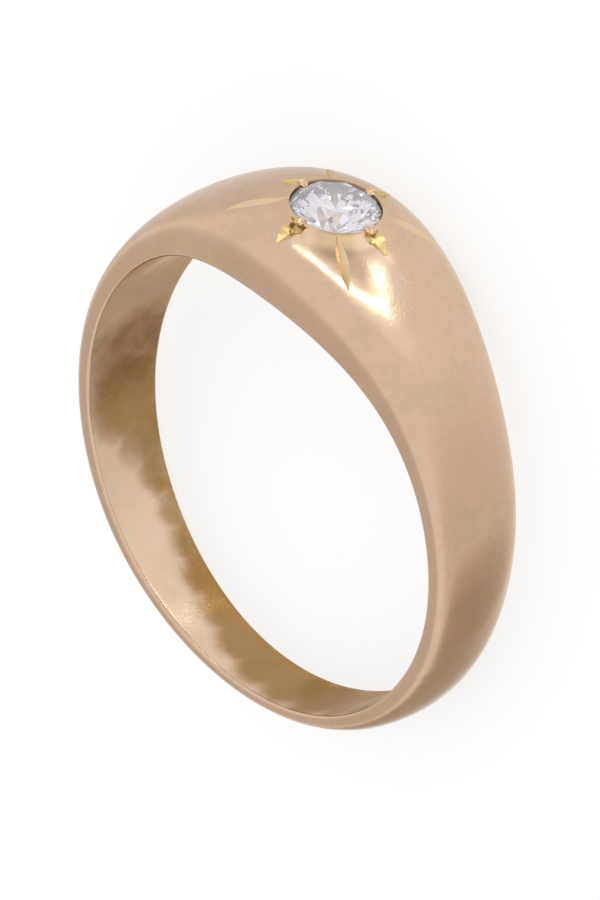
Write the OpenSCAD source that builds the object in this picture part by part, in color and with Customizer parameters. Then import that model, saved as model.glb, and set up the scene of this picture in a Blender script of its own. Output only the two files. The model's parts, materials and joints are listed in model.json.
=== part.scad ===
// Flush set ring: a domed gold band with one round brilliant in an engraved star.
// The ring lies on its side, so the finger bore points up and the stone faces -Y.
// Each piece is drawn in the ring's own frame, with the bore along Z and the crown at -Y.

/* [Finger bore] */
// Inside diameter of the ring
finger_d = 18.0; // [14:0.1:22]
// Bevel where the bore meets each side of the band
bore_bevel = 0.12; // [0.06:0.01:0.2]

/* [Band] */
// Width of the band at the crown
crown_w = 6.8; // [6:0.1:9]
// Width of the band at the back
back_w = 2.7; // [2:0.05:4]
// Thickness of the metal at the crown, from the bore to the top of the dome
crown_t = 2.75; // [2.4:0.05:3.5]
// Thickness of the metal at the back
back_t = 0.75; // [0.6:0.05:1.5]
// Thickness of the band's side edge at the crown
crown_edge_t = 0.38; // [0.3:0.02:0.7]
// Thickness of the band's side edge at the back
back_edge_t = 0.22; // [0.2:0.02:0.5]
// How broad the top of the dome is, where 2 is a round arch
dome_breadth = 1.9; // [1.6:0.1:2.6]
// How square the dome's shoulders are at the crown, where 2 is a round arch
crown_squareness = 4.0; // [2:0.1:5]
// How square the dome's shoulders are at the back
back_squareness = 2.3; // [2:0.1:5]

/* [Stone] */
// Girdle diameter of the brilliant
stone_d = 3.34; // [2.6:0.02:3.8]
// Width of the table, as a share of the girdle
table_share = 0.57; // [0.5:0.01:0.64]
// Slope of the crown's main facets
crown_angle = 34; // [30:0.5:38]
// Slope of the pavilion's main facets
pavilion_angle = 40.8; // [39:0.2:43]
// Thickness of the girdle
girdle_t = 0.1; // [0.08:0.01:0.16]
// Length of the small facets round the table, as a share of the way to the girdle
star_share = 0.5; // [0.4:0.05:0.6]
// Length of the half facets under the girdle, as a share of the way to the point
lower_share = 0.75; // [0.6:0.05:0.85]
// Width of the small flat at the stone's point
culet_d = 0.08; // [0.04:0.02:0.2]
// Turn of the brilliant in its seat
stone_turn = 8; // [0:1:45]

/* [Seat] */
// Depth of the girdle's top edge under the top of the dome
stone_sink = 0.16; // [0.12:0.02:0.3]
// Gap all round between the brilliant and its seat
stone_gap = 0.03; // [0.02:0.01:0.06]
// Height of the burnished collar round the stone, over the girdle's top edge
collar_rise = 0.1; // [0.05:0.01:0.2]
// Width of the collar's slope
collar_w = 0.8; // [0.7:0.05:1]
// Angle of the collar's slope, down towards the dome
collar_angle = 30; // [24:1:40]
// Flat rim of the collar, between the seat and the slope
collar_rim = 0.06; // [0.04:0.01:0.1]
// Diameter of the pilot hole from the seat to the bore
pilot_d = 1.4; // [1:0.1:1.8]

/* [Star engraving] */
// Angle of the leaf cuts to the line along the ring
leaf_angle = 40; // [34:1:50]
// Space between the seat and the leaf cuts
leaf_space = 0.08; // [0.05:0.01:0.2]
// Length of each leaf cut, outwards from near the seat
leaf_l = 2.1; // [1.4:0.1:2.6]
// Width of a leaf cut at its middle
leaf_w = 0.42; // [0.3:0.02:0.6]
// Depth of a leaf cut at its middle
leaf_depth = 0.2; // [0.12:0.02:0.3]
// Length of each short notch, outwards from its grain
notch_l = 0.8; // [0.5:0.05:1.2]
// Width of a notch beside its grain
notch_w = 0.9; // [0.4:0.05:1.1]
// Depth of a notch beside its grain
notch_depth = 0.2; // [0.15:0.05:0.4]
// Diameter of each grain that holds the stone
grain_d = 0.4; // [0.34:0.02:0.5]

/* [Hidden] */

// Sections of the band, every 30 degrees from the crown round to the back
// [share of the width, share of the thickness], where 1 is the crown's size and 0 is the back's
SECTIONS = [
    [1.00, 1.00],
    [0.69, 0.65],
    [0.39, 0.24],
    [0.24, 0.12],
    [0.13, 0.13],
    [0.05, 0.04],
    [0.00, 0.00]
];

bore_r = finger_d / 2;
stone_r = stone_d / 2;
grain_r = grain_d / 2;
band_steps = 120;
dome_steps = 20;
// Depth that the blank reaches inside the bore, before the bore is cut
blank_depth = bore_r / 30;

// Cosine series through the sections, so the band runs smoothly and both its sides are alike
last = len(SECTIONS) - 1;
function total(values, i = 0) = i < len(values) ? values[i] + total(values, i + 1) : 0;
function end_weight(i) = i == 0 || i == last ? 0.5 : 1;
function series(column) = [
    for (k = [0:last])
        end_weight(k) * 2 / last
            * total([for (i = [0:last]) end_weight(i) * SECTIONS[i][column] * cos(180 * i * k / last)])
];
WIDTH_SERIES = series(0);
THICKNESS_SERIES = series(1);
function share_at(terms, turn) = total([for (k = [0:last]) terms[k] * cos(k * turn)]);
function blend(back, crown, share) = back + (crown - back) * share;
function crown_share(turn) = (1 + cos(turn)) / 2;

// Sizes of the section at a turn, in degrees from the crown
function half_width(turn) = blend(back_w, crown_w, share_at(WIDTH_SERIES, turn)) / 2;
function metal_t(turn) = blend(back_t, crown_t, share_at(THICKNESS_SERIES, turn));
function edge_t(turn) = blend(back_edge_t, crown_edge_t, crown_share(turn));
function squareness(turn) = blend(back_squareness, crown_squareness, crown_share(turn));

// Radius of the dome at a turn, where across runs from -1 to 1 over the band's width
function dome_rise(turn, across) =
    pow(max(0, 1 - pow(abs(across), dome_breadth)), 1 / squareness(turn));
function dome_r(turn, across) =
    bore_r + edge_t(turn) + (metal_t(turn) - edge_t(turn)) * dome_rise(turn, across);

// Outline of the section as [radius, distance across], closed inside the bore
function section(turn) = let (half = half_width(turn), inner = half - bore_bevel - blank_depth) [
    for (i = [0:dome_steps])
        let (across = sin(90 - 180 * i / dome_steps)) [dome_r(turn, across), half * across],
    [bore_r + bore_bevel, -half],
    [bore_r - blank_depth, -inner],
    [bore_r - blank_depth, inner],
    [bore_r + bore_bevel, half]
];
function around(radius, turn, across) = [radius * sin(turn), -radius * cos(turn), across];

// Solid through equal outlines. A ring of them joins up, and a row of them gets two ends
module through(outlines, closed) {
    n = len(outlines[0]);
    rows = len(outlines);
    spans = closed ? rows : rows - 1;
    sides = [
        for (i = [0:spans - 1], j = [0:n - 1])
            let (a = i * n, b = ((i + 1) % rows) * n, k = (j + 1) % n)
                each [[a + j, b + j, b + k], [a + j, b + k, a + k]]
    ];
    ends = closed ? [] : [[for (j = [0:n - 1]) j], [for (j = [n - 1:-1:0]) (rows - 1) * n + j]];
    polyhedron([for (outline = outlines) each outline], concat(sides, ends));
}

module blank_band() {
    turns = [for (i = [0:band_steps - 1]) 360 * i / band_steps];
    through([for (turn = turns) [for (p = section(turn)) around(p[0], turn, p[1])]], true);
}

// Turn of the dome's point that lies so far along and across the ring from the middle of the crown
function turn_to(along, across, turn, tries) =
    tries == 0 ? turn
        : turn_to(along, across, asin(along / dome_r(turn, across / half_width(turn))), tries - 1);
// Height of the collar's slope over the dome there, or 0 where the dome is higher
function collar_lift(along, across, radius, turn) =
    let (out = norm([along, across]) - seat_r - collar_rim, slope = max(0, out) * tan(collar_angle))
        max(0, collar_top - slope - (radius * cos(turn) - bore_r - crown_t));
// Point over the dome and the collar
function over_crown(along, across, height) =
    let (turn = turn_to(along, across, 0, 4), radius = dome_r(turn, across / half_width(turn)))
        around(radius + collar_lift(along, across, radius, turn) + height, turn, across);

// V-shaped cut that starts at a distance from the stone's middle and follows the crown outwards
module v_cut(direction, start, length, width, depth, shares) {
    steps = len(shares) - 1;
    ahead = [cos(direction), sin(direction)];
    aside = [-sin(direction), cos(direction)];
    through([
        for (i = [0:steps])
            let (middle = (start + length * i / steps) * ahead, side = aside * width * shares[i])
                [
                    over_crown(middle[0] - side[0], middle[1] - side[1], depth * shares[i]),
                    over_crown(middle[0], middle[1], -depth * shares[i]),
                    over_crown(middle[0] + side[0], middle[1] + side[1], depth * shares[i])
                ]
    ], false);
}

// Frame on the crown, with Z out of the ring from the top of the dome
module on_crown() {
    translate([0, -bore_r - crown_t, 0]) rotate([90, 0, 0]) children();
}

girdle_top = -stone_sink;
girdle_foot = girdle_top - girdle_t;
seat_r = stone_r + stone_gap;
seat_foot = girdle_foot - 2 * stone_gap;
collar_top = girdle_top + collar_rise;
pilot_r = pilot_d / 2;

// Cylinder for the girdle, a cone for the pavilion and the pilot hole, out past the dome and the bore
module seat_cut() {
    cone_foot = seat_foot - (seat_r - pilot_r) * tan(pavilion_angle);
    past_bore = -1.5 * crown_t;
    on_crown() rotate_extrude($fn = 64) polygon([
        [0, crown_t],
        [seat_r, crown_t],
        [seat_r, seat_foot],
        [pilot_r, cone_foot],
        [pilot_r, past_bore],
        [0, past_bore]
    ]);
}

// Collar of metal that is rubbed up against the stone. Its slope runs into the dome,
// and its root lies inside the metal, so it overhangs nothing
module collar() {
    rim_r = seat_r + collar_rim;
    root = -crown_t / 2;
    slope_foot = collar_top - collar_w * tan(collar_angle);
    on_crown() rotate_extrude($fn = 64) polygon([
        [pilot_r, root],
        [rim_r + collar_w, root],
        [rim_r + collar_w, slope_foot],
        [rim_r, collar_top],
        [pilot_r, collar_top]
    ]);
}

// Grain: a bead that reaches over the girdle, and the heel of metal that it was raised from
bead_out = 0.6 * grain_r;
heel_out = 1.1 * grain_r;
heel_up = 0.3 * grain_r;
notch_out = 1.6 * grain_r;

module grain(direction) {
    over_stone = seat_r + bead_out - stone_r;
    bead_up = (grain_r + stone_gap - over_stone * sin(crown_angle)) / cos(crown_angle);
    on_crown() rotate([0, 0, direction]) {
        translate([seat_r + bead_out, 0, girdle_top + bead_up]) sphere(r = grain_r, $fn = 24);
        translate([seat_r + heel_out, 0, girdle_top + heel_up]) sphere(r = grain_r, $fn = 24);
    }
}

// Share of its full width that a cut still has at its tip
tip_share = 0.06;
leaf_steps = 8;
// Fullness of a leaf, where 1 is a sine's half wave and less is fuller
leaf_fullness = 0.8;
LEAF_SHARES = [for (i = [0:leaf_steps]) max(tip_share, pow(sin(180 * i / leaf_steps), leaf_fullness))];
NOTCH_SHARES = [1, 0.7, 0.4, tip_share];
LEAF_DIRECTIONS = [leaf_angle, 180 - leaf_angle, 180 + leaf_angle, -leaf_angle];
GRAIN_DIRECTIONS = [0, 90, 180, 270];

module star_cuts() {
    for (direction = LEAF_DIRECTIONS)
        v_cut(direction, seat_r + leaf_space, leaf_l, leaf_w, leaf_depth, LEAF_SHARES);
    for (direction = GRAIN_DIRECTIONS)
        v_cut(direction, seat_r + notch_out, notch_l, notch_w, notch_depth, NOTCH_SHARES);
}

module band_in_ring() {
    difference() {
        union() {
            blank_band();
            collar();
        }
        cylinder(r = bore_r, h = 3 * crown_w, center = true, $fn = 180);
        seat_cut();
        star_cuts();
    }
    for (direction = GRAIN_DIRECTIONS) grain(direction);
}

// The brilliant, with its axis on Z and the girdle's top edge at z = 0
eighth = 45;
half_step = eighth / 2;
girdle_points = 64;
arc_points = girdle_points / 16;
table_r = stone_r * table_share;
crown_slope = tan(crown_angle);
pavilion_slope = tan(pavilion_angle);
crown_h = (stone_r - table_r) * crown_slope;
star_r = blend(table_r * cos(half_step), stone_r, star_share);
star_z = crown_h - (star_r * cos(half_step) - table_r) * crown_slope;
lower_r = stone_r * (1 - lower_share);
lower_z = -girdle_t - (stone_r - lower_r * cos(half_step)) * pavilion_slope;
culet_r = culet_d / 2;
culet_z = -girdle_t - (stone_r - culet_r) * pavilion_slope;

function polar(radius, angle, z) = [radius * cos(angle), radius * sin(angle), z];
// Height of the plane through three points, over the place of a fourth
function plane_z(a, b, c, place) =
    let (normal = cross(b - a, c - a))
        a[2] - (normal[0] * (place[0] - a[0]) + normal[1] * (place[1] - a[1])) / normal[2];
// Scalloped edge of the girdle, where the planes of the half facets meet the round
function girdle_edge(tip_r, tip_z, edge_z) = [
    for (i = [0:girdle_points - 1])
        let (
            first = floor(i / arc_points) * half_step,
            tip = polar(tip_r, (floor(first / eighth) + 0.5) * eighth, tip_z),
            place = polar(stone_r, 360 * i / girdle_points, edge_z),
            start = polar(stone_r, first, edge_z),
            end = polar(stone_r, first + half_step, edge_z)
        )
            polar(stone_r, 360 * i / girdle_points, plane_z(start, end, tip, place))
];

module brilliant() {
    table_at = 0;
    star_at = 8;
    upper_at = 16;
    lower_at = upper_at + girdle_points;
    point_at = lower_at + girdle_points;
    culet_at = point_at + 8;
    around_8 = [0:7];
    points = concat(
        [for (k = around_8) polar(table_r, k * eighth, crown_h)],
        [for (k = around_8) polar(star_r, (k + 0.5) * eighth, star_z)],
        girdle_edge(star_r, star_z, 0),
        girdle_edge(lower_r, lower_z, -girdle_t),
        [for (k = around_8) polar(lower_r, (k + 0.5) * eighth, lower_z)],
        [for (k = around_8) polar(culet_r / cos(half_step), (k + 0.5) * eighth, culet_z)]
    );
    arc = [0:arc_points];
    faces = concat(
        [[for (k = around_8) table_at + 7 - k]],
        [for (k = around_8) [table_at + k, table_at + (k + 1) % 8, star_at + k]],
        [for (k = around_8)
            [table_at + k, star_at + k, upper_at + 2 * arc_points * k, star_at + (k + 7) % 8]],
        [for (half = [0:15])
            concat(
                [star_at + floor(half / 2)],
                [for (i = arc) upper_at + (arc_points * (half + 1) - i) % girdle_points])],
        [for (i = [0:girdle_points - 1]) let (next = (i + 1) % girdle_points)
            each [
                [upper_at + i, upper_at + next, lower_at + next],
                [upper_at + i, lower_at + next, lower_at + i]
            ]],
        [for (half = [0:15])
            concat(
                [point_at + floor(half / 2)],
                [for (i = arc) lower_at + (arc_points * half + i) % girdle_points])],
        [for (k = around_8) let (before = (k + 7) % 8)
            [
                lower_at + 2 * arc_points * k,
                point_at + k,
                culet_at + k,
                culet_at + before,
                point_at + before
            ]],
        [[for (k = around_8) culet_at + k]]
    );
    polyhedron(points, faces);
}

// Tilt and lift that let both side edges touch the floor, at the crown and at the back,
// and the shift that puts the middle of the ring's length over the origin
crown_foot_r = bore_r + bore_bevel;
back_foot_r = bore_r + back_edge_t;
rest_tilt = atan((crown_w - back_w) / 2 / (crown_foot_r + back_foot_r));
rest_lift = crown_w / 2 * cos(rest_tilt) - crown_foot_r * sin(rest_tilt);
front_reach = (bore_r + crown_t + girdle_top + crown_h) * cos(rest_tilt) + table_r * sin(rest_tilt);
back_reach = (bore_r + back_t) * cos(rest_tilt);
rest_shift = (front_reach - back_reach) / 2;

module at_rest() {
    translate([0, rest_shift, rest_lift]) rotate([-rest_tilt, 0, 0]) children();
}

module band() {
    color([0.80, 0.66, 0.52]) at_rest() band_in_ring();
}

module diamond() {
    color([0.93, 0.92, 0.97]) at_rest() on_crown()
        translate([0, 0, girdle_top]) rotate([0, 0, stone_turn]) brilliant();
}

band();
diamond();
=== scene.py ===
"""Looks for the flush set ring: a worn satin gold band, a star round one brilliant, and a pale studio."""

import json
import math

import bmesh
import bpy
import numpy as np
from mathutils import Matrix, Vector, noise

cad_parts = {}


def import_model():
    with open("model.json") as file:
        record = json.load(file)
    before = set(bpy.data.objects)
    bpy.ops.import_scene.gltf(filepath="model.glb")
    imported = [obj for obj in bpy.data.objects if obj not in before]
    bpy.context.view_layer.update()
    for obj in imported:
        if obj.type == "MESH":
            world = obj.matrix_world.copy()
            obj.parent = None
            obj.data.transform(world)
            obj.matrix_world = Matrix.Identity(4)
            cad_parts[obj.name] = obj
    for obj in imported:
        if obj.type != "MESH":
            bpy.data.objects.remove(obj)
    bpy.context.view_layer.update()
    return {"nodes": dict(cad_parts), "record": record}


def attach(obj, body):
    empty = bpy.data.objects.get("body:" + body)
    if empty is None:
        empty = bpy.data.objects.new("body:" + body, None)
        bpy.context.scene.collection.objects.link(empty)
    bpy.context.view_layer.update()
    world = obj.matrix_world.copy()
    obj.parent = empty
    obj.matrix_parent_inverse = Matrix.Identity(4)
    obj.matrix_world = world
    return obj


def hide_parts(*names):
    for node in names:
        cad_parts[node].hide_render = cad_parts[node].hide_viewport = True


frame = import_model()

MM = 0.001

# Sizes of the ring in millimetres, the same as in the part's source
CROWN_W = 6.8
BACK_W = 2.7
CROWN_T = 2.75
BACK_T = 0.75
CROWN_EDGE_T = 0.38
BACK_EDGE_T = 0.22
DOME_BREADTH = 1.9
CROWN_SQUARENESS = 4.0
BACK_SQUARENESS = 2.3
STONE_D = 3.34
STONE_SINK = 0.16
STONE_GAP = 0.03
GIRDLE_T = 0.1
PAVILION_ANGLE = 40.8
COLLAR_RISE = 0.10
COLLAR_W = 0.8
COLLAR_ANGLE = 30
COLLAR_RIM = 0.06
PILOT_D = 1.4
LEAF_ANGLE = 40
LEAF_SPACE = 0.08
LEAF_L = 2.1
LEAF_W = 0.42
LEAF_DEPTH = 0.2
NOTCH_L = 0.8
NOTCH_W = 0.9
NOTCH_DEPTH = 0.2
GRAIN_D = 0.4

# Sections every 30 degrees from the crown to the back: share of the width, share of the thickness
SECTIONS = np.array([
    [1.00, 1.00],
    [0.69, 0.65],
    [0.39, 0.24],
    [0.24, 0.12],
    [0.13, 0.13],
    [0.05, 0.04],
    [0.00, 0.00],
])

# The bore's place comes from the frame
BORE = next(m for m in frame["record"]["mounts"] if m["name"] == "finger_bore")
BORE_R = BORE["dims"]["r_mm"]
BORE_AXIS = Vector(BORE["axis"]).normalized()
BORE_MIDDLE = Vector(BORE["pos_m"])
SEAT_R = STONE_D / 2 + STONE_GAP
GRAIN_R = GRAIN_D / 2
GIRDLE_TOP = -STONE_SINK
COLLAR_TOP = GIRDLE_TOP + COLLAR_RISE


def ring_matrix():
    """From the ring's own frame in millimetres, bore along Z and crown at -Y, to the row frame in metres."""
    across = Vector((1, 0, 0))
    back = BORE_AXIS.cross(across)
    turn = Matrix((across, back, BORE_AXIS)).transposed().to_4x4()
    return Matrix.Translation(BORE_MIDDLE) @ turn @ Matrix.Scale(MM, 4)


RING = ring_matrix()

# Form of the band, as in the part's source


def cosine_terms(column):
    """Cosine series through one column of SECTIONS."""
    last = len(SECTIONS) - 1
    steps = np.arange(last + 1)
    weight = np.where((steps == 0) | (steps == last), 0.5, 1.0)
    waves = np.cos(np.pi * np.outer(steps, steps) / last)
    return weight * 2 / last * (waves @ (weight * SECTIONS[:, column]))


WIDTH_TERMS = cosine_terms(0)
THICKNESS_TERMS = cosine_terms(1)


def share_at(terms, turn):
    return sum(term * np.cos(k * turn) for k, term in enumerate(terms))


def blend(back, crown, share):
    return back + (crown - back) * share


def half_width(turn):
    return blend(BACK_W, CROWN_W, share_at(WIDTH_TERMS, turn)) / 2


def edge_t(turn):
    return blend(BACK_EDGE_T, CROWN_EDGE_T, (1 + np.cos(turn)) / 2)


def dome_radius(turn, across):
    """Radius of the dome in millimetres, where across runs from -1 to 1 over the band's width."""
    metal = blend(BACK_T, CROWN_T, share_at(THICKNESS_TERMS, turn))
    square = blend(BACK_SQUARENESS, CROWN_SQUARENESS, (1 + np.cos(turn)) / 2)
    rise = np.maximum(0, 1 - np.abs(across) ** DOME_BREADTH) ** (1 / square)
    return BORE_R + edge_t(turn) + (metal - edge_t(turn)) * rise


# How softly the collar's slope runs into the dome, in millimetres
COLLAR_SOFT = 0.02
# The collar's lift fades out between these distances from its rim, as shares of its width
COLLAR_FADE = (1.0, 1.5)


def crown_radius(turn, share):
    """Radius of the dome with the burnished collar over it, where share runs from -1 to 1 over the width."""
    dome = dome_radius(turn, share)
    out = np.hypot(dome * np.sin(turn), half_width(turn) * share) - SEAT_R - COLLAR_RIM
    slope = COLLAR_TOP - np.maximum(0, out) * math.tan(math.radians(COLLAR_ANGLE))
    over = slope - (dome * np.cos(turn) - BORE_R - CROWN_T)
    lift = (over + np.sqrt(over ** 2 + COLLAR_SOFT ** 2)) / 2
    held, gone = (part * COLLAR_W for part in COLLAR_FADE)
    fade = np.clip((gone - out) / (gone - held), 0, 1)
    near = (np.cos(turn) > 0) * fade * fade * (3 - 2 * fade)
    return dome + lift * near


def around(radius, turn, across):
    return np.stack([radius * np.sin(turn), -radius * np.cos(turn), across + 0 * radius], -1)


TURN_TRIES = 6


def turn_at(along, across):
    """Turn of the point of the dome that lies so far along and across the ring from the crown's middle."""
    turn = np.zeros_like(along)
    for _ in range(TURN_TRIES):
        turn = np.arcsin(along / dome_radius(turn, across / half_width(turn)))
    return turn


def over_crown(along, across, height):
    turn = turn_at(along, across)
    return around(crown_radius(turn, across / half_width(turn)) + height, turn, across)


# Meshes


def mesh_object(name, points, faces, matrix=RING):
    """Object with its place in its vertices, from points in the ring's own frame."""
    mesh = bpy.data.meshes.new(name)
    mesh.from_pydata([tuple(p) for p in points], [], faces)
    mesh.transform(matrix)
    mesh.update()
    piece = bpy.data.objects.new(name, mesh)
    bpy.context.scene.collection.objects.link(piece)
    return piece


def strip_faces(rows, n, closed):
    """Quads between rows of n points each, where each row is a closed outline."""
    faces = []
    for i in range(rows if closed else rows - 1):
        a, b = i * n, ((i + 1) % rows) * n
        for j in range(n):
            k = (j + 1) % n
            faces.append((a + j, a + k, b + k, b + j))
    if not closed:
        faces.append(tuple(range(n - 1, -1, -1)))
        faces.append(tuple(range((rows - 1) * n, rows * n)))
    return faces


# Steps of a section: over the dome, round each corner of the bore's mouth, and across the bore
DOME_STEPS = 150
ROUND_STEPS = 5
BORE_STEPS = 22
# Radius of the bore's worn mouth in millimetres
EDGE_ROUND = 0.14
# Degrees between sections: fine ones up to a turn either side of the stone, and coarse ones past it
FINE_SPAN = 34
FINE_STEP = 0.36
COARSE_STEP = 1.5


def band_turns():
    """Turns of the band's rows in radians, close together round the stone."""
    fine = np.arange(-FINE_SPAN, FINE_SPAN, FINE_STEP)
    coarse = np.arange(FINE_SPAN, 360 - FINE_SPAN, COARSE_STEP)
    return np.radians(np.concatenate([fine, coarse]))


def section(turn):
    """Closed outline of the band at a turn, as radius and distance across."""
    half, edge = half_width(turn), edge_t(turn)
    across = np.sin(np.radians(90 - 180 * np.arange(DOME_STEPS + 1) / DOME_STEPS))
    dome = np.stack([crown_radius(turn, across), half * across], -1)
    corner = np.radians(90 * np.arange(ROUND_STEPS + 1) / ROUND_STEPS)
    arc_r = BORE_R + EDGE_ROUND * (1 - np.sin(corner))
    arc_a = half - EDGE_ROUND * (1 - np.cos(corner))
    near = np.stack([arc_r, -arc_a], -1)
    inner = half - EDGE_ROUND
    flat = np.linspace(-inner, inner, BORE_STEPS + 1)[1:-1]
    bore = np.stack([np.full_like(flat, BORE_R), flat], -1)
    far = np.stack([arc_r, arc_a], -1)[::-1]
    return np.concatenate([dome, near, bore, far])


def band_blank():
    turns = band_turns()
    rows = np.stack([section(t) for t in turns])
    n = rows.shape[1]
    points = around(rows[..., 0], turns[:, None], rows[..., 1]).reshape(-1, 3)
    return mesh_object("gold_band", points, strip_faces(len(turns), n, True))


def crown_matrix():
    """From a frame on the top of the dome, Z out of the ring and X along it, to the row frame."""
    out = Matrix(((1, 0, 0), (0, 0, -1), (0, 1, 0))).to_4x4()
    return RING @ Matrix.Translation((0, -BORE_R - CROWN_T, 0)) @ out


def turned(name, profile, steps, matrix):
    """Solid of revolution about Z from a profile of (radius, height) that starts and ends on the axis."""
    rim = profile[1:-1]
    angles = 2 * np.pi * np.arange(steps) / steps
    points = [(r * math.cos(a), r * math.sin(a), z) for a in angles for r, z in rim]
    n = len(rim)
    first, last = len(points), len(points) + 1
    points += [(0, 0, profile[0][1]), (0, 0, profile[-1][1])]
    faces = []
    for i in range(steps):
        a, b = i * n, ((i + 1) % steps) * n
        faces += [(a + j + 1, a + j, b + j, b + j + 1)[::-1] for j in range(n - 1)]
        faces += [(first, a, b), (last, b + n - 1, a + n - 1)]
    return mesh_object(name, points, faces, matrix)


SEAT_STEPS = 96
# Heights at which the seat's cutter is clear of the metal, above the crown's top and in the bore
CLEAR_ABOVE = CROWN_T
CLEAR_BELOW = -1.5 * CROWN_T


def seat_cutter():
    """Round seat with a cone for the pavilion and the pilot hole through to the bore."""
    foot = GIRDLE_TOP - GIRDLE_T - 2 * STONE_GAP
    pilot_r = PILOT_D / 2
    cone_foot = foot - (SEAT_R - pilot_r) * math.tan(math.radians(PAVILION_ANGLE))
    profile = [
        (0, CLEAR_ABOVE),
        (SEAT_R, CLEAR_ABOVE),
        (SEAT_R, foot),
        (pilot_r, cone_foot),
        (pilot_r, CLEAR_BELOW),
        (0, CLEAR_BELOW),
    ]
    return turned("seat_cutter", profile, SEAT_STEPS, crown_matrix())


# Widths along a cut as shares of its full width: a leaf swells in the middle, and a notch tapers away from
# the stone
LEAF_STEPS = 16
LEAF_TIP = 0.04
LEAF_FULLNESS = 0.8
LEAF_WAVE = [math.sin(math.pi * i / LEAF_STEPS) for i in range(LEAF_STEPS + 1)]
LEAF_SHARES = [max(LEAF_TIP, wave ** LEAF_FULLNESS) for wave in LEAF_WAVE]
NOTCH_STEPS = 10
NOTCH_TIP = 0.08
NOTCH_FULLNESS = 0.65
NOTCH_SHARES = [max(NOTCH_TIP, (1 - i / NOTCH_STEPS) ** NOTCH_FULLNESS) for i in range(NOTCH_STEPS + 1)]
# The engraver's leaves stray a few degrees from the even star, and one lies askew to the stone
LEAF_STRAY = [-1, 3, 3, 0]
LEAF_SKEW = [0, 9, 0, 0]
EVEN_STAR = [LEAF_ANGLE, 180 - LEAF_ANGLE, 180 + LEAF_ANGLE, -LEAF_ANGLE]
LEAF_DIRECTIONS = [even + stray for even, stray in zip(EVEN_STAR, LEAF_STRAY)]
GRAIN_DIRECTIONS = [0, 90, 180, 270]
# How far out from the seat a notch starts, here and in the solid, in radii of a grain. Both end at one place
NOTCH_IN = 0.5
NOTCH_OUT = 1.6
NOTCH_START = SEAT_R + NOTCH_IN * GRAIN_R
NOTCH_END = SEAT_R + NOTCH_OUT * GRAIN_R + NOTCH_L
NOTCH_SKEW = [0, 0, -9, 0]
# How bumpy a cut's walls are, as a share of its depth, and how close together its bumps are, per millimetre
LEAF_ROUGH = 0.08
NOTCH_ROUGH = 0.8
CUT_BUMPS = 5
# Steps across a cut
CUT_COLUMNS = 12


def unit(degrees):
    return np.array([math.cos(math.radians(degrees)), math.sin(math.radians(degrees))])


def v_cutter(name, direction, start, length, width, depth, shares, rough, seed, skew=0):
    """V-shaped cutter that follows the crown outwards, its middle straight out from the stone.

    Its bumps fade out towards its open top, so that they never pierce it."""
    centre = (start + length / 2) * unit(direction)
    ahead = unit(direction + skew)
    aside = np.array([-ahead[1], ahead[0]])
    points = []
    for i, share in enumerate(shares):
        middle = centre + length * (i / (len(shares) - 1) - 0.5) * ahead
        for j in range(CUT_COLUMNS + 1):
            side = 2 * j / CUT_COLUMNS - 1
            spot = middle + side * aside * width * share
            bump = rough * (1 - side ** 4) * noise.noise(Vector((*(spot * CUT_BUMPS), seed)))
            points.append(over_crown(spot[0], spot[1], depth * share * (2 * abs(side) - 1 + bump)))
    return mesh_object(name, points, strip_faces(len(shares), CUT_COLUMNS + 1, False))


# A grain in its own radii: half its length, breadth and height, its middle out from the seat and up from
# the girdle, how uneven it is, and how close together its lumps are
GRAIN_SHAPE = np.array([1.15, 0.85, 0.55])
GRAIN_OUT = 0.35
GRAIN_UP = 0.45
GRAIN_UNEVEN = 0.5
GRAIN_LUMPS = 1.8


def grain_lump(name, direction, seed):
    """Uneven bead of metal that leans over the stone's edge."""
    ball = bmesh.new()
    bmesh.ops.create_icosphere(ball, subdivisions=4, radius=1)
    points = np.array([v.co[:] for v in ball.verts])
    faces = [tuple(v.index for v in f.verts) for f in ball.faces]
    ball.free()
    rough = np.array([noise.noise(Vector(p * GRAIN_LUMPS) + Vector((seed, 0, 0))) for p in points])
    points = points * (GRAIN_SHAPE * GRAIN_R) * (1 + GRAIN_UNEVEN * rough)[:, None]
    points[:, 0] += SEAT_R + GRAIN_OUT * GRAIN_R
    points[:, 2] += GIRDLE_TOP + GRAIN_UP * GRAIN_R
    matrix = crown_matrix() @ Matrix.Rotation(math.radians(direction), 4, "Z")
    return mesh_object(name, points, faces, matrix)


def joined(name, parts):
    """One object from several that don't touch."""
    with bpy.context.temp_override(active_object=parts[0], selected_editable_objects=parts):
        bpy.ops.object.join()
    parts[0].name = name
    return parts[0]


def combine(piece, tool, operation):
    cut = piece.modifiers.new(tool.name, "BOOLEAN")
    cut.operation = operation
    cut.solver = "MANIFOLD"
    cut.object = tool
    cut.material_mode = "TRANSFER"
    return tool


def apply_modifiers(piece, tools):
    graph = bpy.context.evaluated_depsgraph_get()
    made = bpy.data.meshes.new_from_object(piece.evaluated_get(graph))
    piece.modifiers.clear()
    piece.data = made
    for tool in tools:
        bpy.data.objects.remove(tool)


def faced(piece, material):
    piece.data.materials.append(material)
    return piece


# Seeds of the first notch's bumps and the first grain's lumps, and from one grain to the next
NOTCH_SEED = 10
GRAIN_SEED = 20
GRAIN_SEED_STEP = 3


def leaf_cutters():
    return [
        v_cutter(f"leaf_{i}", way, SEAT_R + LEAF_SPACE, LEAF_L, LEAF_W, LEAF_DEPTH,
                 LEAF_SHARES, LEAF_ROUGH, i, LEAF_SKEW[i])
        for i, way in enumerate(LEAF_DIRECTIONS)
    ]


def notch_cutters():
    return [
        v_cutter(f"notch_{i}", way, NOTCH_START, NOTCH_END - NOTCH_START, NOTCH_W, NOTCH_DEPTH,
                 NOTCH_SHARES, NOTCH_ROUGH, NOTCH_SEED + i, NOTCH_SKEW[i])
        for i, way in enumerate(GRAIN_DIRECTIONS)
    ]


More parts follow.
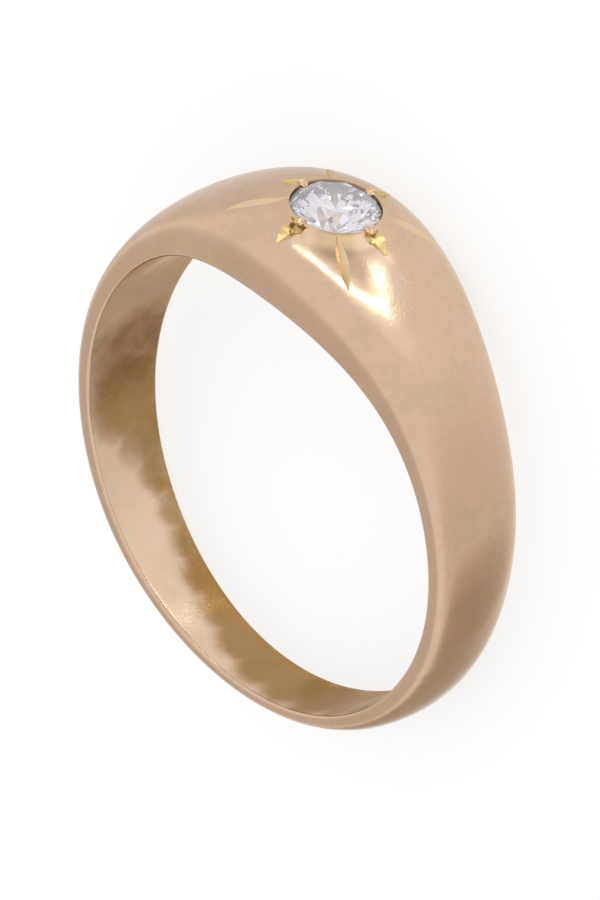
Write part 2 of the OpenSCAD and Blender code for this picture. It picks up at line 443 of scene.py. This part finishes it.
def grain_lumps():
    return [
        grain_lump(f"grain_{i}", way, GRAIN_SEED + GRAIN_SEED_STEP * i)
        for i, way in enumerate(GRAIN_DIRECTIONS)
    ]


# Edges that bend by more than this many degrees are drawn sharp
SHARP_ANGLE = 28


def gold_band():
    satin, bore, leaf, notch = satin_gold(), bore_gold(), leaf_gold(), notch_gold()
    band = faced(band_blank(), satin)
    leaves = joined("leaves", leaf_cutters())
    notches = joined("notches", notch_cutters())
    grains = joined("grains", grain_lumps())
    tools = [faced(leaves, leaf), faced(notches, notch), faced(seat_cutter(), leaf)]
    for tool in tools:
        combine(band, tool, "DIFFERENCE")
    beads = faced(grains, leaf)
    combine(band, beads, "UNION")
    apply_modifiers(band, tools + [beads])
    band.data.shade_smooth()
    band.data.set_sharp_from_angle(angle=math.radians(SHARP_ANGLE))
    line_bore(band, bore)
    return band


# Faces of the band whose middle is this close to the bore's wall, in millimetres, are the bore's
BORE_SKIN = 0.03


def line_bore(band, material):
    """Gives the bore's faces their own finish."""
    band.data.materials.append(material)
    slot = len(band.data.materials) - 1
    back = RING.inverted()
    for face in band.data.polygons:
        spot = back @ face.center
        if math.hypot(spot.x, spot.y) < BORE_R + BORE_SKIN and face.material_index == 0:
            face.material_index = slot


# Materials


class Tree:
    """Short calls for a material's or world's nodes."""

    def __init__(self, owner):
        owner.use_nodes = True
        self.tree = owner.node_tree

    def node(self, kind, **inputs):
        made = self.tree.nodes.new(kind)
        for name, value in inputs.items():
            self.put(made, name.replace("_", " "), value)
        return made

    def put(self, node, name, value):
        socket = node.inputs[int(name)] if name.isdigit() else node.inputs[name]
        if isinstance(value, bpy.types.NodeSocket):
            self.tree.links.new(value, socket)
        else:
            socket.default_value = value

    def math(self, operation, a, b=0.0, clamp=False):
        made = self.tree.nodes.new("ShaderNodeMath")
        made.operation = operation
        made.use_clamp = clamp
        self.put(made, "0", a)
        self.put(made, "1", b)
        return made.outputs[0]

    def dot(self, vector, direction):
        made = self.tree.nodes.new("ShaderNodeVectorMath")
        made.operation = "DOT_PRODUCT"
        self.put(made, "0", vector)
        self.put(made, "1", direction)
        return made.outputs["Value"]

    def ranged(self, value, low, high, to_low=0.0, to_high=1.0, smooth=True):
        made = self.tree.nodes.new("ShaderNodeMapRange")
        made.interpolation_type = "SMOOTHSTEP" if smooth else "LINEAR"
        for name, number in (("Value", value), ("From Min", low), ("From Max", high),
                             ("To Min", to_low), ("To Max", to_high)):
            self.put(made, name, number)
        return made.outputs[0]

    def mix(self, share, a, b):
        made = self.tree.nodes.new("ShaderNodeMix")
        made.data_type = "RGBA"
        self.put(made, "0", share)
        self.put(made, "6", a)
        self.put(made, "7", b)
        return made.outputs[2]

    def millimetres(self, turn=(0, 0, 0), stretch=(1, 1, 1)):
        """The surface's own place in millimetres, turned and stretched."""
        made = self.tree.nodes.new("ShaderNodeMapping")
        self.put(made, "Vector", self.tree.nodes.new("ShaderNodeTexCoord").outputs["Object"])
        made.inputs["Rotation"].default_value = [math.radians(a) for a in turn]
        made.inputs["Scale"].default_value = [s / MM for s in stretch]
        return made.outputs[0]

    def noise(self, vector, scale, detail, distortion=0.0):
        """Noise of so many features per unit of the vector."""
        made = self.node(
            "ShaderNodeTexNoise", Vector=vector, Scale=scale, Detail=detail, Distortion=distortion)
        return made.outputs[0]


# Ways that the scratches run, as turns in degrees, with the noise drawn out along the first axis of each
SCRATCH_TURNS = [(0, 0, 20), (35, 60, 10), (80, 15, 50), (50, 110, 75)]
SCRATCH_STRETCH = (0.12, 4.5, 4.5)
SCRATCH_FINENESS = 1.6
# Half a scratch's width, in the noise's own values
SCRATCH_HALF = 0.012
# Noise that picks the scratched patches: its features per millimetre, and its values at which scratches start
# to show and are full
SCRATCH_PATCHES = 0.55
SCRATCH_FROM = 0.62
SCRATCH_FULL = 0.70


def scratches(tree, density):
    """Hairline scratches, from 0 to 1, from thin crests of noise drawn out along a few directions."""
    lines = 0.0
    for turn in SCRATCH_TURNS:
        crest = tree.noise(tree.millimetres(turn, SCRATCH_STRETCH), SCRATCH_FINENESS, 0.0)
        away = tree.math("ABSOLUTE", tree.math("SUBTRACT", crest, 0.5))
        line = tree.ranged(away, 0.0, SCRATCH_HALF, 1.0, 0.0)
        spread = tree.noise(tree.millimetres(turn), SCRATCH_PATCHES, 1.0)
        patch = tree.ranged(spread, SCRATCH_FROM - density, SCRATCH_FULL - density)
        lines = tree.math("MAXIMUM", lines, tree.math("MULTIPLY", line, patch))
    return lines


def near(tree, place, spot, inner, outer, most=1.0):
    """How near the surface is to a spot of the ring: most up to the inner distance, 0 past the outer one."""
    apart = tree.tree.nodes.new("ShaderNodeVectorMath")
    apart.operation = "DISTANCE"
    tree.put(apart, "0", place)
    tree.put(apart, "1", RING @ Vector(spot) / MM)
    return tree.ranged(apart.outputs["Value"], inner, outer, most, 0.0)


# Share of a stain's reach over which it is at its deepest. The bore's stains are ochre tarnish and painted
# shade
STAIN_AND_SHADE_CORE = 0.3


# The bore's stains are ochre tarnish and painted shade, the darker reflections of the ring's own hollow
def stain_and_shade(tree, place, spots):
    """How stained the bore is, from the spot that stains it most."""
    most = 0.0
    for turn, across, reach, depth in spots:
        spot = around(BORE_R, math.radians(turn), across)
        most = tree.math("MAXIMUM", most, near(tree, place, spot, STAIN_AND_SHADE_CORE * reach, reach, depth))
    return most


# The rubbed collar round the stone is more matt: in full up to the first distance, and not past the second
COLLAR_MATT = (2.15, 2.6)
# Painted shade, a darker reflection painted into the metal on one side of the stone: its turn, millimetres
# across, reach and tint
PAINTED_SHADE_TURN = -7.5
PAINTED_SHADE_ACROSS = 1.45
PAINTED_SHADE_REACH = (0.5, 1.1)
PAINTED_SHADE_TINT = (0.49, 0.355, 0.22, 1)
# What the metal's tint turns to at a grazing angle
PLAIN_EDGE = (1.0, 1.0, 1.0, 1)
TARNISHED_EDGE = (0.90, 0.81, 0.72, 1)
# Noise of the gold, each as features per millimetre, detail and distortion, and the part of it that is used
PATCH_NOISE = (0.32, 4.0, 0.6)
PATCH_RANGE = (0.38, 0.66)
STRAY_NOISE = (1.1, 5.0, 0.4)
STRAY_RANGE = (0.3, 0.7)
MOTTLE_NOISE = (2.8, 4.0, 0.5)
MOTTLE_RANGE = (0.36, 0.64)
GLOSS_NOISE = (1.4, 5.0, 0.3)
GLOSS_RANGE = (0.32, 0.7)
GRAIN_NOISE = (9.0, 3.0)
DENT_DETAIL = (3.0, 0.4)
# Shares of the plain patches and of the stains in a stained metal's tint, how far a stain's edge strays, and
# the depths of stain at which its tint starts and is full. In the bore the stains are tarnish and painted
# shade
PATCH_SHARE = 0.12
STAIN_AND_SHADE_SHARE = 0.88
STAIN_AND_SHADE_STRAY = 0.10
STAIN_AND_SHADE_EDGE = (0.08, 0.95)
# How far the satin's mottle goes from one tint to the other
MOTTLE = 0.4
# What a scratch adds to the roughness and takes off the height, and the fine grain's share of the height
SCRATCH_ROUGH = 0.16
SCRATCH_DEPTH = 0.10
GRAIN_HEIGHT = 0.22
# Millimetres of height at a bump of one
BUMP_HEIGHT = 0.012


def tint_share(tree, place, spots, burnish):
    """Share of the deep tint: soft patches, with stains or a mottle over them."""
    patches = tree.ranged(tree.noise(place, *PATCH_NOISE), *PATCH_RANGE)
    if spots:
        stray = tree.ranged(tree.noise(place, *STRAY_NOISE), *STRAY_RANGE, -STAIN_AND_SHADE_STRAY, STAIN_AND_SHADE_STRAY)
        edge = tree.ranged(tree.math("ADD", stain_and_shade(tree, place, spots), stray), *STAIN_AND_SHADE_EDGE)
        plain = tree.math("MULTIPLY", patches, PATCH_SHARE)
        patches = tree.math("ADD", plain, tree.math("MULTIPLY", edge, STAIN_AND_SHADE_SHARE), True)
    if burnish:
        mottle = tree.ranged(tree.noise(place, *MOTTLE_NOISE), *MOTTLE_RANGE, -MOTTLE, MOTTLE)
        patches = tree.math("ADD", patches, mottle, True)
    return patches


def worn_gold(name, light, deep, smooth, rough, density, dent, spots=(), burnish=0.0, edge_tint=PLAIN_EDGE):
    """Worn gold: two tints, a rippled satin gloss, hairline scratches and small dents.

    Smooth and rough are the ends of its roughness, density is how much of it is scratched, dent is its dents
    per millimetre, and burnish is how much rougher the collar round the stone is."""
    material = bpy.data.materials.new(name)
    tree = Tree(material)
    shader = tree.tree.nodes["Principled BSDF"]
    shader.inputs["Metallic"].default_value = 1.0
    shader.inputs["Specular Tint"].default_value = edge_tint
    place = tree.millimetres()
    colour = tree.mix(tint_share(tree, place, spots, burnish), light, deep)
    lines = scratches(tree, density)
    gloss = tree.ranged(tree.noise(place, *GLOSS_NOISE), *GLOSS_RANGE, smooth, rough)
    gloss = tree.math("ADD", gloss, tree.math("MULTIPLY", lines, SCRATCH_ROUGH))
    if burnish:
        collar = near(tree, place, (0, -BORE_R - CROWN_T, 0), *COLLAR_MATT)
        gloss = tree.math("ADD", gloss, tree.math("MULTIPLY", collar, burnish))
        # Painted shade: a darker reflection painted into the metal on one side of the stone
        painted_shade = around(BORE_R + CROWN_T, math.radians(PAINTED_SHADE_TURN), PAINTED_SHADE_ACROSS)
        colour = tree.mix(near(tree, place, painted_shade, *PAINTED_SHADE_REACH), colour, PAINTED_SHADE_TINT)
    tree.put(shader, "Base Color", colour)
    tree.put(shader, "Roughness", gloss)
    grain = tree.noise(place, *GRAIN_NOISE)
    dents = tree.noise(place, dent, *DENT_DETAIL)
    height = tree.math("ADD", tree.math("MULTIPLY", grain, GRAIN_HEIGHT), dents)
    height = tree.math("SUBTRACT", height, tree.math("MULTIPLY", lines, SCRATCH_DEPTH))
    bump = tree.node("ShaderNodeBump", Strength=1.0, Distance=BUMP_HEIGHT * MM, Height=height)
    tree.put(shader, "Normal", bump.outputs[0])
    return material


def satin_gold():
    return worn_gold(
        "satin_gold", light=(0.665, 0.470, 0.342, 1), deep=(0.620, 0.450, 0.298, 1),
        smooth=0.15, rough=0.22, density=-0.04, dent=0.8, burnish=0.30)


# Ochre tarnish in the bore, where no finger rubs it, and painted shade, the darker reflections of the ring's
# own hollow: turn from the crown, millimetres across, reach, depth
BORE_STAINS_AND_SHADE = [
    (78, 0.8, 2.0, 0.2),
    (90, -0.3, 3.1, 0.65),
    (103, -0.3, 3.0, 0.9),
    (113, -1.0, 2.3, 0.85),
    (124, -1.4, 1.8, 0.8),
    (134, -1.5, 1.6, 0.75),
    (143, -1.5, 1.7, 0.85),
    (152, -1.4, 2.0, 1.0),
    (162, -1.2, 2.1, 1.0),
    (172, -0.7, 2.1, 1.0),
    (182, -0.4, 2.2, 1.0),
    (192, -0.2, 2.3, 1.0),
    (203, -0.1, 2.4, 1.0),
    (214, -0.1, 2.4, 1.0),
    (226, 0.0, 2.6, 1.0),
]


# The bore's deep tint is ochre tarnish and painted shade, the darker reflections of the ring's own hollow
def bore_gold():
    return worn_gold(
        "bore_gold", light=(0.74, 0.56, 0.40, 1), deep=(0.335, 0.187, 0.062, 1),
        smooth=0.15, rough=0.28, density=0.06, dent=1.1, spots=BORE_STAINS_AND_SHADE, edge_tint=TARNISHED_EDGE)


# A density this low leaves a metal without scratches, as the cuts are
UNSCRATCHED = -1.0
CUT_DENT = 3.0


def leaf_gold():
    return worn_gold(
        "leaf_gold", light=(0.73, 0.56, 0.36, 1), deep=(0.69, 0.51, 0.31, 1),
        smooth=0.26, rough=0.36, density=UNSCRATCHED, dent=CUT_DENT)


def notch_gold():
    return worn_gold(
        "notch_gold", light=(0.74, 0.57, 0.28, 1), deep=(0.58, 0.41, 0.17, 1),
        smooth=0.28, rough=0.42, density=UNSCRATCHED, dent=CUT_DENT)


def stone_material():
    material = bpy.data.materials.new("brilliant")
    material.use_nodes = True
    shader = material.node_tree.nodes["Principled BSDF"]
    shader.inputs["Base Color"].default_value = (0.96, 0.92, 0.99, 1)
    shader.inputs["Roughness"].default_value = 0.0
    shader.inputs["IOR"].default_value = 2.417
    shader.inputs["Transmission Weight"].default_value = 0.85
    return material


# Studio

# The photo's view of the ring: round from the bore's axis, up towards the crown, and the camera's own roll
VIEW_TURN = 41.23
VIEW_RISE = 35.03
VIEW_ROLL = 9.51
VIEW_DISTANCE = 0.45
IMAGE = (600, 900)
BORE_PIXEL = (291.88, 469.41)
PIXELS_PER_MM = 27.476
SENSOR = 36


def camera():
    turn, rise, roll = (math.radians(a) for a in (VIEW_TURN, VIEW_RISE, VIEW_ROLL))
    back = Vector((-math.sin(turn) * math.cos(rise), -math.sin(rise), math.cos(turn) * math.cos(rise)))
    level = Vector((-math.cos(turn), 0, -math.sin(turn)))
    upward = back.cross(level)
    right = math.cos(roll) * level + math.sin(roll) * upward
    up = math.cos(roll) * upward - math.sin(roll) * level
    turn_of_ring = RING.to_3x3().normalized()
    right, up, back = (turn_of_ring @ v for v in (right, up, back))
    data = bpy.data.cameras.new("camera")
    data.sensor_width = SENSOR
    data.lens = PIXELS_PER_MM / MM * VIEW_DISTANCE * SENSOR / max(IMAGE)
    data.shift_x = (IMAGE[0] / 2 - BORE_PIXEL[0]) / max(IMAGE)
    data.shift_y = (BORE_PIXEL[1] - IMAGE[1] / 2) / max(IMAGE)
    data.clip_start = 0.01
    lens = bpy.data.objects.new("camera", data)
    lens.matrix_world = Matrix((right, up, back)).transposed().to_4x4()
    lens.location = BORE_MIDDLE + back * VIEW_DISTANCE
    bpy.context.scene.collection.objects.link(lens)
    bpy.context.scene.camera = lens
    return lens


# Dimmer parts of the studio: the way to each from the ring, the cosines from that way at which the dimming
# starts and is full, and the most of it
DIMMED = {
    "low behind, to -X": ((-0.58, 0.62, -0.53), 0.80, 0.99, 1.0),
    "low, to -X": ((-0.85, 0.25, -0.46), 0.58, 0.93, 0.36),
    "before the stone": ((0.03, -0.99, -0.14), 0.965, 0.995, 0.40),
    "high behind, to +X": ((0.47, 0.75, 0.47), 0.76, 1.0, 0.52),
    "low behind": ((-0.10, 0.90, -0.42), 0.78, 0.96, 0.95),
    "low, to +X": ((0.88, 0.05, -0.46), 0.72, 0.96, 0.37),
}
BRIGHT = (1.0, 1.0, 1.0, 1)
DIM = (0.50, 0.44, 0.38, 1)


def world():
    """Pale studio all round, with its dimmer parts."""
    sky = bpy.data.worlds.new("studio")
    tree = Tree(sky)
    way = tree.node("ShaderNodeTexCoord").outputs["Generated"]
    most = 0.0
    for middle, start, full, share in DIMMED.values():
        part = tree.ranged(tree.dot(way, middle), start, full, 0.0, share)
        most = tree.math("MAXIMUM", most, part)
    colour = tree.mix(most, BRIGHT, DIM)
    background = tree.tree.nodes["Background"]
    tree.put(background, "Color", colour)
    background.inputs["Strength"].default_value = 1.0
    bpy.context.scene.world = sky


def direction(azimuth, elevation):
    """Way from the ring, round from -Y towards +X and up, in degrees."""
    a, e = math.radians(azimuth), math.radians(elevation)
    return Vector((math.sin(a) * math.cos(e), -math.cos(a) * math.cos(e), math.sin(e)))


# A touch green, so that the highlights' edges on the gold are pale yellow
LIGHT_TINT = (0.92, 1.0, 0.93)


# Ends of each light as azimuth and elevation from the crown, its width in degrees, and its strength
LIGHTS = {
    "strip_left": ((24, 12.5), (-2, 11), 2.8, 7),
    "strip_middle": ((-2, 11), (-15, 2), 2.8, 11),
    "strip_apex": ((-15, 2), (-25, -12), 2.8, 11),
    "strip_right": ((-22, -13.5), (-2, -23.5), 1.3, 14),
    "strip_low": ((-1, -31.5), (2.5, -31.5), 1.8, 5),
    "strip_glow": ((-12, 14), (-44, -17), 16, 0.16),
}
LIGHT_DISTANCE = 0.3


def strip_light(name, start, end, width, strength):
    """Soft light whose long side runs between two directions, seen from the crown."""
    crown = RING @ Vector((0, -BORE_R - CROWN_T, 0))
    a, b = direction(*start), direction(*end)
    out = (a + b).normalized()
    along = (b - a).normalized()
    data = bpy.data.lights.new(name, "AREA")
    data.shape = "RECTANGLE"
    data.color = LIGHT_TINT
    data.size = (b - a).length * LIGHT_DISTANCE
    data.size_y = 2 * math.tan(math.radians(width / 2)) * LIGHT_DISTANCE
    data.energy = strength * math.pi * data.size * data.size_y
    light = bpy.data.objects.new(name, data)
    light.matrix_world = Matrix((along, out.cross(along), out)).transposed().to_4x4()
    light.location = crown + out * LIGHT_DISTANCE
    bpy.context.scene.collection.objects.link(light)
    light.visible_camera = False
    return light


# Half the floor's side in metres. It is mostly emissive, and gold and stone don't mirror it
FLOOR_HALF = 1.0
FLOOR_TINT = (0.3, 0.3, 0.3, 1)
FLOOR_GLOW = 0.72


def floor():
    side = FLOOR_HALF
    points = [(-side, -side, 0), (side, -side, 0), (side, side, 0), (-side, side, 0)]
    piece = mesh_object("floor", points, [(0, 1, 2, 3)], Matrix.Identity(4))
    material = bpy.data.materials.new("pale_floor")
    material.use_nodes = True
    shader = material.node_tree.nodes["Principled BSDF"]
    shader.inputs["Base Color"].default_value = FLOOR_TINT
    shader.inputs["Roughness"].default_value = 0.8
    shader.inputs["Specular IOR Level"].default_value = 0.2
    shader.inputs["Emission Color"].default_value = (1, 1, 1, 1)
    shader.inputs["Emission Strength"].default_value = FLOOR_GLOW
    piece.data.materials.append(material)
    piece.visible_glossy = False
    piece.visible_transmission = False
    piece.visible_shadow = False


camera()
world()
floor()
for name, (start, end, width, strength) in LIGHTS.items():
    strip_light(name, start, end, width, strength)
bpy.context.scene.view_settings.view_transform = "Standard"

band = gold_band()
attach(band, "root")
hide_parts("band")

stone = frame["nodes"]["diamond"]
stone.data.materials.clear()
stone.data.materials.append(stone_material())
